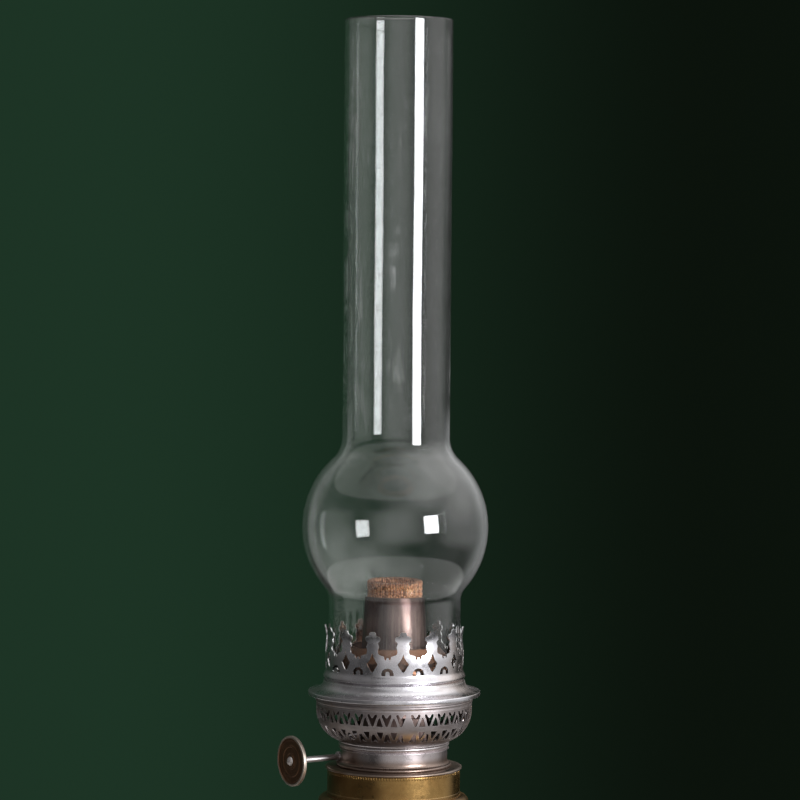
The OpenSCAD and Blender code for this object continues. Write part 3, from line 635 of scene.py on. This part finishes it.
collar += [(26.4 + 3.8 * x, 196.7 + 2.9 * z) for x, z in arc(0, 0, 1, -86, 86, 36)]
collar += [(26.7, 199.6), (26.7, 200.4), (26.78, 200.5), (26.78, 200.9), (26.7, 201.0), (26.7, 209.3)]
collar += arc(26.2, 209.5, 0.5, 0, 90, 6) + [(24.3, 210)]
lathe("collar", collar, brass, "stand", ["font_collar"], 256, 0.0)

# Burner base
lathe("base_plate_rim",
      [(13.35, 210)] + arc(27.0, 210.5, 0.5, -90, 60, 8) + [(26.4, 211.2), (13.35, 211.2)],
      tarnished, "burner", ["base_plate"], 224, 0)
drum = [(21.0, 211.2), (22.3, 211.2)] + arc(22.6, 211.8, 0.6, -80, 95, 10)
drum += (curve([(22.3, 212.45), (21.7, 212.7), (21.5, 213.4), (21.5, 214.4)], 8)
         + [(21.5, 218.1), (21.0, 218.1)])
lathe("drum_wall", drum, shaded_drum_nickel, "burner", ["winder_drum"], 224, 0)
lathe("drum_top",
      [(13.35, 218.1), (21.9, 218.1), (22.2, 218.25), (22.2, 218.45), (21.9, 218.6), (13.35, 218.6)],
      nickel_dull, "burner", ["drum_deck"], 224, 0)
tube_path = smooth([(13.3, 206), (13.3, 236), (13.3, 253), (13.3, 255.6), (13.2, 257.4), (12.2, 274.6),
                    (12.05, 276.6),
                    (11.85, 280.4)], 6)
tube = tube_path + arc(11.55, 280.35, 0.25, 20, 160, 5) + [(r - 0.5, z) for r, z in tube_path[::-1]]

# Winder
winder_frame = on_winder()
lathe("shaft", [(0, -6.7), (1.2, -6.7), (1.2, 39.8), (0, 39.8)], steel, "winder", ["winder_shaft"], 48, 0.1,
      winder_frame)
knob_face = [(1.25, 36.0), (2.3, 36.0), (2.3, 38.2), (9.5, 38.2)] + arc(9.75, 38.55, 0.35, -60, 0, 4)
knob_face += arc(9.75, 39.45, 0.35, 0, 100, 6) + [(9.2, 39.8), (9.0, 39.45), (8.6, 39.42), (8.4, 39.5),
                                                  (8.2, 39.42)]
knob_face += [(6.5, 39.42), (6.3, 39.62), (6.0, 39.66), (5.7, 39.62), (5.5, 39.42), (3.4, 39.4),
              (3.2, 39.55), (2.9, 39.4),
              (2.6, 39.45), (2.4, 39.75), (1.25, 39.8)]
lathe("knob", knob_face, patina, "winder", ["winder_knob"], 128, 0.04, winder_frame)
lathe("rivet", [(0, 39.8)] + [(1.85, 39.8)] + arc(0, 39.1, 2.0, 22, 88, 10) + [(0, 41.1)], steel, "winder",
      ["knob_rivet"],
      48, 0, winder_frame)
lathe("gland", [(1.26, 12.2), (2.2, 12.2), (2.2, 17.1), (1.95, 17.4), (1.26, 17.4)], nickel_dull,
      "burner", ["shaft_gland"], 64, 0.06, winder_frame)

# Wick and its tubes
def cut_from(obj, cutters):
    """Takes box-shaped cutters, given as (matrix, size) in metres, out of an object's mesh."""
    bm = bmesh.new()
    for m, size in cutters:
        made = bmesh.ops.create_cube(bm, size=1.0)
        bmesh.ops.transform(bm, matrix=m @ Matrix.Diagonal((*size, 1)), verts=made["verts"])
    mesh = bpy.data.meshes.new("cutter")
    bm.to_mesh(mesh)
    bm.free()
    tool = bpy.data.objects.new("cutter", mesh)
    bpy.context.scene.collection.objects.link(tool)
    mod = obj.modifiers.new("cut", "BOOLEAN")
    mod.object = tool
    mod.solver = "EXACT"
    bpy.context.view_layer.update()
    done = bpy.data.meshes.new_from_object(obj.evaluated_get(bpy.context.evaluated_depsgraph_get()))
    obj.modifiers.clear()
    old = obj.data
    obj.data = done
    bpy.data.meshes.remove(old)
    bpy.data.objects.remove(tool)
    bpy.data.meshes.remove(mesh)
    done.set_sharp_from_angle(angle=math.radians(35))


outer_tube = lathe("outer_tube", tube, tube_steel, "burner", ["outer_wick_tube"], 160, 0)
WINDOW_A = WINDER_A + math.pi / 2
window = Matrix.Rotation(WINDOW_A, 4, "Z") @ Matrix.Translation((13 * MM, 0, 226.6 * MM))
slots = [Matrix.Rotation(WINDER_A, 4, "Z") @ Matrix.Translation((s * 2.6 * MM, -10.3 * MM, AXLE_Z * MM))
         for s in (-1, 1)]
cut_from(outer_tube,
         [(window, (8 * MM, 8.2 * MM, 10 * MM))] + [(m, (2.2 * MM, 8 * MM, 7.2 * MM)) for m in slots])

random.seed(5)
RIBS = 64


def wick_wobble(a, r, z):
    if z < 281.5:
        return 0, 0
    k = (0.08 * math.sin(RIBS * a + 0.5 * math.sin(z * 2.9))
         + 0.05 * math.sin(17 * a + 1.3) * math.sin(z * 2.1))
    k += random.uniform(-0.06, 0.06) + min(1, max(0, (z - 281.5) / 3)) * 0.16
    side = 1 if r > 9.8 else -1
    up = 0
    if z > 285.2:
        up = 0.14 * math.sin(RIBS * a + 0.7) * random.uniform(0.3, 1.0) - random.uniform(0, 0.25)
        up -= 0.18 * (1 + math.sin(3 * a + 0.4) * math.sin(2 * a))
        k += random.uniform(-0.12, 0.06)
    return side * (k - 0.05), up


wick_outline = ([(8.6, 249)] + [(8.6, 249 + 2 * i) for i in range(1, 16)]
                + [(8.6, 280 + 0.5 * i) for i in range(10)])
wick_outline += [(8.62, 285.2), (8.8, 285.65), (9.15, 285.85), (9.5, 285.8), (9.85, 285.85), (10.2, 285.8),
                 (10.55, 285.8), (10.85, 285.5), (10.97, 285.0)]
wick_outline += ([(10.97, 284.5 - 0.5 * i) for i in range(9)] + [(10.97, 279 - 2 * i) for i in range(15)]
                 + [(10.97, 249)])
wick_bm = lathe_mesh(wick_outline, 384, wick_wobble)
# The hanging part is open on the window's side and slit opposite, as the solid is
bm_tail = lathe_mesh([(8.6, 132)] + [(8.6, 132 + 3.9 * i) for i in range(1, 31)]
                     + [(10.97, 249 - 3.9 * i) for i in range(30)] + [(10.97, 132)], 128)
add_object("wick_top", wick_bm, wick_cotton, "wick", ["wick"], 80, None)
tails = add_object("wick_tails", bm_tail, wick_cotton, "wick", ["wick"], 40, None)
gap = Matrix.Rotation(WINDOW_A, 4, "Z") @ Matrix.Translation((10 * MM, 0, 185 * MM))
slit = Matrix.Rotation(WINDOW_A + math.pi, 4, "Z") @ Matrix.Translation((10 * MM, 0, 157 * MM))
cut_from(tails, [(gap, (12 * MM, 10 * MM, 112.4 * MM)), (slit, (12 * MM, 3 * MM, 54 * MM))])


def fibres(name, count, mat, body):
    """Loose cotton ends standing on the wick's rim, each a thin tapered blade."""
    bm = bmesh.new()
    for _ in range(count):
        a = random.uniform(0, 2 * math.pi)
        kind = random.random()
        if kind < 0.55:
            r, z, lean = random.uniform(8.7, 10.9), 285.5, random.uniform(-0.3, 0.3)
        else:
            r, z, lean = 10.9, random.uniform(281.2, 285.4), random.uniform(0.1, 0.4)
        h = random.uniform(0.25, 0.62) if kind < 0.55 else random.uniform(0.15, 0.45)
        w = random.uniform(0.03, 0.06)
        da = random.uniform(-0.04, 0.04)
        cols = []
        for t in (0.0, 0.4, 0.75, 1.0):
            rr = r + lean * t * t * (0.5 if kind < 0.55 else 0.6)
            aa = a + da * t
            ww = w * (1 - t) / r
            zz = z + h * t if kind < 0.55 else z + 0.5 * h * (t - 0.6 * t * t)
            zz = min(zz, 285.98)
            cols.append([bm.verts.new((rr * MM * math.cos(aa + s * ww), rr * MM * math.sin(aa + s * ww),
                                       zz * MM))
                         for s in ((-1, 1) if t < 1 else (0,))])
        for i in range(2):
            bm.faces.new((cols[i][0], cols[i][1], cols[i + 1][1], cols[i + 1][0]))
        bm.faces.new((cols[2][0], cols[2][1], cols[3][0]))
    return add_object(name, bm, mat, body, [], 80, None)


fibres("wick_fibres", 2600, wick_cotton, "wick")

# Gallery
def drop(points, eps=0.01):
    return [p for i, p in enumerate(points) if i == 0 or math.dist(p, points[i - 1]) > eps]


flange = [(21.5, SEAT_Z), (28.35, SEAT_Z)]
flange += curve([(28.45, SEAT_Z - 0.1), (28.75, 243.0), (30.25, 241.9), (33.7, 241.5)], 28)
flange += (arc(34.15, 241.05, 0.45, 90, 0, 8) + arc(34.15, 240.15, 0.45, 0, -90, 6)
           + arc(33.4, 240.15, 0.45, -90, -180, 6))
flange += [(32.8, 241.0), (32.4, 241.25), (32.1, FLANGE_Z), (30.1, FLANGE_Z), (29.05, 241.73),
           (28.25, 242.72),
           (27.85, 243.88), (27.65, 244.8), (21.5, 244.8)]
lathe("flange", drop(flange), nickel, "gallery", ["gallery_flange"], 256, 0)
lathe("glass_ledge", [(23.6, 245.6), (26.8, 245.6), (26.8, 246.2), (23.6, 246.2)], nickel, "gallery",
      ["chimney_seat"], 160,
      0.1)
cone_path = smooth([(23.2, 245.6), (23.15, 246.6), (22.75, 251.5), (22.55, 253.2), (22.2, 254.4),
                    (21.4, 255.4), (18.1, 259.0),
                    (17.7, 259.7)], 5)
lathe("air_cone_sheet", sheet(cone_path, 0.5), copper, "gallery", ["air_cone"], 192, 0.08)

crown_path = smooth([(27.35, SEAT_Z), (27.35, 246.2), (28.0, 246.55), (28.45, 247.2), (28.4, 247.85),
                     (28.05, 248.7),
                     (27.65, 249.7), (27.6, 250.8), (27.8, 256.1), (27.6, 259.4), (27.25, 263.9),
                     (27.85, 267.6)], 5)
CROWN_MID = 27.6
FINGERS = 14
CROWN_FOOT_Z = 246.35
half_pitch = math.pi / FINGERS * CROWN_MID
rng = random.Random(3)


def both(half):
    """An outline from its right half, which runs from bottom to top."""
    return half + [(-x, z) for x, z in half[::-1] if x > 0]


def handmade(poly, dx, r, amount):
    """A pierced figure with soft corners, each a little off its place."""
    return round_poly([(x + dx + rng.uniform(-amount, amount), z + rng.uniform(-amount, amount)) for x,
                       z in poly], r)


# Half widths of a finger from the valley to its tip
flank = smooth([(5.3, 256.6), (4.75, 257.5), (4.85, 258.05), (3.95, 258.3), (2.75, 258.8), (2.4, 259.3),
                (2.3, 260.2),
                (2.5, 261.2), (2.75, 261.8), (2.4, 262.4), (2.2, 263.2), (2.45, 263.7), (2.95, 264.0),
                (3.2, 264.6),
                (3.1, 265.3), (2.6, 265.8), (1.8, 266.0), (1.4, 266.3), (1.38, 266.8), (1.2, 267.25),
                (0.75, 267.55),
                (0.0, 267.6)], 3)
seam_x = 3.3
join = next(i for i, p in enumerate(flank) if p[0] < seam_x)
(xa, za), (xb, zb) = flank[join - 1], flank[join]
join_z = za + (zb - za) * (xa - seam_x) / (xa - xb)
valley_bump = [(0.55, 256.75), (0.5, 257.35), (0.2, 257.6), (-0.2, 257.6), (-0.5, 257.35), (-0.55, 256.75)]
# From the seam over a finger, down to the valley and up the next finger to the seam again
crown_edge = [(seam_x - 2 * half_pitch, CROWN_FOOT_Z), (seam_x, CROWN_FOOT_Z),
              (seam_x, join_z)] + flank[join:]
crown_edge += [(-x, z) for x, z in flank[::-1][1:]] + [(x - half_pitch, z) for x, z in valley_bump]
crown_edge += [(x - 2 * half_pitch, z) for x, z in flank[:join]] + [(seam_x - 2 * half_pitch, join_z)]
kite = both([(0, 251.6), (0.6, 252.1), (1.4, 253.3), (2.35, 255.0), (1.1, 256.5), (0.45, 257.9),
             (0, 259.2)])
arch = arc(0, 251.0, 2.45, 0, 180, 10) + [(-2.45, 250.4), (-0.85, 250.4)] + arc(0, 251.3, 0.85, 180, 0, 8)
arch += [(0.85, 250.4), (2.45, 250.4)]
leans = [rng.uniform(-0.5, 0.5) for _ in range(FINGERS)]
twists = [rng.uniform(-0.35, 0.35) for _ in range(FINGERS)]


def crown_holes(turn):
    return [handmade(kite, 0, 0.2, 0.1), handmade(arch, -half_pitch, 0.25, 0.08)]


def finger_lean(turn, x, z):
    """Fingers bent a little out or in, and twisted, by years of chimneys."""
    up = max(0.0, z - join_z - 0.3) / 9
    return up * up * (leans[turn] + twists[turn] * x / 3) if x > -half_pitch else 0.0


add_object("crown", pierced_strip(FINGERS, 7.3 - 90, crown_path, 0.5, crown_edge, crown_holes,
                                  [(seam_x, CROWN_FOOT_Z), (seam_x, join_z)], CROWN_MID, 0.42, finger_lean),
           nickel, "gallery", ["chimney_crown"], 38, None)
crown_foot = ([p for p in crown_path if p[1] < CROWN_FOOT_Z - 0.02]
              + [(across(crown_path, CROWN_FOOT_Z), CROWN_FOOT_Z)])
lathe("crown_foot", sheet(crown_foot, 0.5), nickel, "gallery", [], 192, 0)

# The basket: a plain foot and rim turned in one, and pierced sheet between them
BASKET_FOOT_Z, BASKET_RIM_Z = 221.3, 236.6
basket_foot = [(17.7, DRUM_TOP), (21.6, DRUM_TOP), (21.8, 219.0)] + arc(21.6, 220.1, 0.7, -50, 60, 12)
basket_foot += [(21.85, 220.95), (22.0, BASKET_FOOT_Z)]
lathe("basket_foot", sheet(drop(basket_foot), 0.5), nickel_dull, "gallery", ["pierced_basket"], 224, 0)
basket_rim = [(31.3, BASKET_RIM_Z), (31.3, 237.15), (31.4, 237.25), (31.55, 237.5), (31.55, 238.2),
              (31.4, 238.42),
              (31.3, 238.5), (31.3, FLANGE_Z)]
lathe("basket_rim", sheet(basket_rim, 0.5), shaded_basket_nickel, "gallery", ["pierced_basket"], 224, 0)
bowl = curve([(22.0, BASKET_FOOT_Z), (28.5, 223.6), (31.3, 228.5), (31.3, 234.5)],
             40) + [(31.3, BASKET_RIM_Z)]
BASKET_MID = 30.5
FIGURES = 34
step_half = math.pi / FIGURES * BASKET_MID
y_hole = both([(0.35, 230.7), (0.85, 231.9), (1.25, 233.1), (1.9, 234.5), (2.0, 235.2), (1.75, 235.65),
               (1.15, 235.6),
               (0.75, 235.0), (0.35, 234.35), (0, 234.1)])
tri_hole = both([(1.4, 230.65), (1.0, 232.2), (0.25, 234.15)])
low_tri = both([(0.25, 225.2), (1.05, 227.1), (1.4, 228.45)])
low_fig = both([(0, 224.8), (0.7, 223.95), (1.45, 223.85), (1.2, 225.4), (0.5, 227.4)])
# Runs between the figures from the bowl's foot to the rim, at the right of each upright figure
basket_seam = [(2.35, BASKET_FOOT_Z), (2.35, 223.9), (2.3, 224.4), (1.9, 225.4), (1.55, 226.3),
               (1.07, 227.5), (0.9, 228.6),
               (0.92, 230.8), (1.33, 232.0), (1.66, 233.1), (2.0, 234.0), (2.35, 235.0),
               (2.35, BASKET_RIM_Z)]
basket_edge = basket_seam + [(x - 2 * step_half, z) for x, z in basket_seam[::-1]]


def basket_holes(turn):
    """The figures of one pitch; beside the sheet's own seam the triangles are left out."""
    figures = [(y_hole, 0),
               (low_fig, 0)] + ([(tri_hole, -step_half), (low_tri, -step_half)] if turn != 1 else [])
    return [handmade([(x * BASKET_MID / across(bowl, z), z) for x, z in poly], dx, 0.2, 0.03) for poly,
            dx in figures]


add_object("basket",
           pierced_strip(FIGURES, 5.3 - 90, bowl, 0.5, basket_edge, basket_holes, basket_seam, BASKET_MID,
                         0.5),
           shaded_basket_nickel, "gallery", ["pierced_basket"], 38, None)

# Chimney
def glass_path(depth):
    """One face of the glass: foot, fillet, bulge, fillet and tube, each tangent to the next."""
    lx, tx = GLASS_FOOT_R + LOW_CURVE, GLASS_TUBE_R + TOP_CURVE
    low_reach, top_reach = GLASS_BULGE_R + LOW_CURVE, GLASS_BULGE_R + TOP_CURVE
    mid = GLASS_Z + BULGE_UP
    lz, tz = mid - math.sqrt(low_reach**2 - lx**2), mid + math.sqrt(top_reach**2 - tx**2)
    la, ta = math.degrees(math.acos(lx / low_reach)), math.degrees(math.acos(tx / top_reach))
    tube_low = [(GLASS_FOOT_R - depth, GLASS_Z + 0.6 + i * (lz - GLASS_Z - 0.8) / 8) for i in range(8)]
    tube_top = [(GLASS_TUBE_R - depth, tz + (GLASS_RIM_Z - tz) * i / 24) for i in range(1, 25)]
    return (tube_low + arc(lx, lz, LOW_CURVE + depth, 180, 180 - la, 20)
            + arc(0, mid, GLASS_BULGE_R - depth, 1 - la, ta - 1, 70)
            + arc(tx, tz, TOP_CURVE + depth, 180 + ta, 180, 24) + tube_top)


chimney = glass_path(0) + arc(20.7, GLASS_RIM_Z, 0.9, 10, 170, 12) + glass_path(GLASS_THICK)[::-1]
chimney += arc(25.25, 246.8, 0.6, 190, 262, 4) + arc(25.85, 246.8, 0.6, 278, 350, 4)


def blown(a, r, z):
    """Slight waviness of blown glass."""
    k = 0.05 * math.sin(2 * a + z * 0.03) + 0.03 * math.sin(3 * a - z * 0.05 + 1)
    fade = min(1, max(0, (z - 285) / 12)) * min(1, max(0, (500 - z) / 20))
    return k * fade, 0


lathe("glass_chimney", chimney, glass, "chimney", ["chimney"], 256, 0, None, blown, 60)

# Solids that keep their own shape
KEPT = {"foot_ballast": rough_iron, "foot_washer": steel, "foot_nut": steel, "tie_rod": steel,
        "font_cup": brass_polished,
        "font_boss": steel, "thread_ring": burner_brass, "inner_wick_tube": tube_steel,
        "draught_duct": tube_steel,
        "tail_bearing": burner_brass, "spur_wheels": steel}
for node, material in KEPT.items():
    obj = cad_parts[node]
    for k in range(max(1, len(obj.material_slots))):
        if obj.material_slots:
            obj.material_slots[k].material = material
        else:
            obj.data.materials.append(material)

# Stage, light and camera
bm = bmesh.new()
bmesh.ops.create_circle(bm, cap_ends=True, segments=128, radius=FLOOR_R)
floor_mesh = bpy.data.meshes.new("floor")
bm.to_mesh(floor_mesh)
bm.free()
floor = bpy.data.objects.new("floor", floor_mesh)
floor_mesh.materials.append(floor_material())
bpy.context.scene.collection.objects.link(floor)


def softbox(name, azimuth, elevation, distance, width, height, power, colour, aim=(0, 0, 0.27)):
    """Azimuth is counted from the camera's side, positive to the camera's right."""
    a, e = math.radians(azimuth), math.radians(elevation)
    at = Vector(aim) + distance * Vector((math.sin(a) * math.cos(e), -math.cos(a) * math.cos(e),
                                          math.sin(e)))
    data = bpy.data.lights.new(name, "AREA")
    data.shape = "RECTANGLE"
    data.size, data.size_y = width, height
    data.energy = power
    data.color = colour
    obj = bpy.data.objects.new(name, data)
    obj.location = at
    obj.rotation_euler = (at - Vector(aim)).to_track_quat("Z", "Y").to_euler()
    bpy.context.scene.collection.objects.link(obj)
    return obj


softbox("window", 45, 7, 2.2, 0.72, 0.78, 48, (0.94, 0.96, 1.0))

bpy.context.scene.view_settings.view_transform = "Standard"
world = bpy.data.worlds.new("studio")
bpy.context.scene.world = world
world.use_nodes = True
sky = world.node_tree
ray = sky.nodes.new("ShaderNodeTexCoord").outputs["Generated"]


def facing(azimuth, elevation, wide, narrow):
    """0 outside a cone of directions and 1 well inside it, softly; angles as for the softbox."""
    a, e = math.radians(azimuth), math.radians(elevation)
    dot = sky.nodes.new("ShaderNodeVectorMath")
    dot.operation = "DOT_PRODUCT"
    dot.inputs[1].default_value = (math.sin(a) * math.cos(e), -math.cos(a) * math.cos(e), math.sin(e))
    sky.links.new(ray, dot.inputs[0])
    soft = sky.nodes.new("ShaderNodeMapRange")
    soft.interpolation_type = "SMOOTHSTEP"
    soft.inputs[1].default_value = math.cos(math.radians(wide))
    soft.inputs[2].default_value = math.cos(math.radians(narrow))
    sky.links.new(dot.outputs["Value"], soft.inputs[0])
    return soft.outputs[0]


def blended(mode, amount, first, second):
    node = sky.nodes.new("ShaderNodeMix")
    node.data_type = "RGBA"
    node.blend_type = mode
    for slot, value in ((0, amount), (6, first), (7, second)):
        if isinstance(value, tuple):
            node.inputs[slot].default_value = (*value, 1)
        else:
            sky.links.new(value, node.inputs[slot])
    return node.outputs[2]


# A dark green backdrop, darker to the right, and soft light from the front, the right and above
glow = blended("MIX", facing(98, 0, 87.5, 76.5), (0.0125, 0.034, 0.0185), (0.0035, 0.0062, 0.0036))
glow = blended("MIX", facing(-30, 0, 118, 60), glow, (0.019, 0.019, 0.019))
for azimuth, elevation, wide, bright in [
        (8, -4, 46, 0.64), (88, -2, 42, 0.67), (80, 46, 54, 1.0), (128, 40, 46, 0.56),
        (-84, 30, 62, 0.118), (-126, 38, 46, 0.06), (30, 62, 50, 0.79)]:
    glow = blended("ADD", facing(azimuth, elevation, wide, 0), glow, (bright, bright, bright))
# The room is dark below the lamp's own height
level = sky.nodes.new("ShaderNodeSeparateXYZ")
sky.links.new(ray, level.inputs[0])
above = sky.nodes.new("ShaderNodeMapRange")
above.interpolation_type = "SMOOTHSTEP"
above.inputs[1].default_value, above.inputs[2].default_value = -0.40, -0.15
sky.links.new(level.outputs[2], above.inputs[0])
glow = blended("MIX", above.outputs[0], (0.012, 0.013, 0.011), glow)
sky.links.new(glow, sky.nodes["Background"].inputs[0])

cam_data = bpy.data.cameras.new("camera")
cam_data.sensor_width = SENSOR
cam_data.lens = SENSOR * FOCAL_PIXELS / PICTURE_PIXELS
cam_data.clip_end = 50
camera = bpy.data.objects.new("camera", cam_data)
turn = Matrix.Rotation(math.radians(-0.063), 4, "Z") @ Matrix.Rotation(math.radians(90 - 2.52), 4, "X") @ \
    Matrix.Rotation(math.radians(0.43), 4, "Z")
camera.matrix_world = Matrix.Translation((0, -1.344, 0.4173)) @ turn
bpy.context.scene.collection.objects.link(camera)
bpy.context.scene.camera = camera
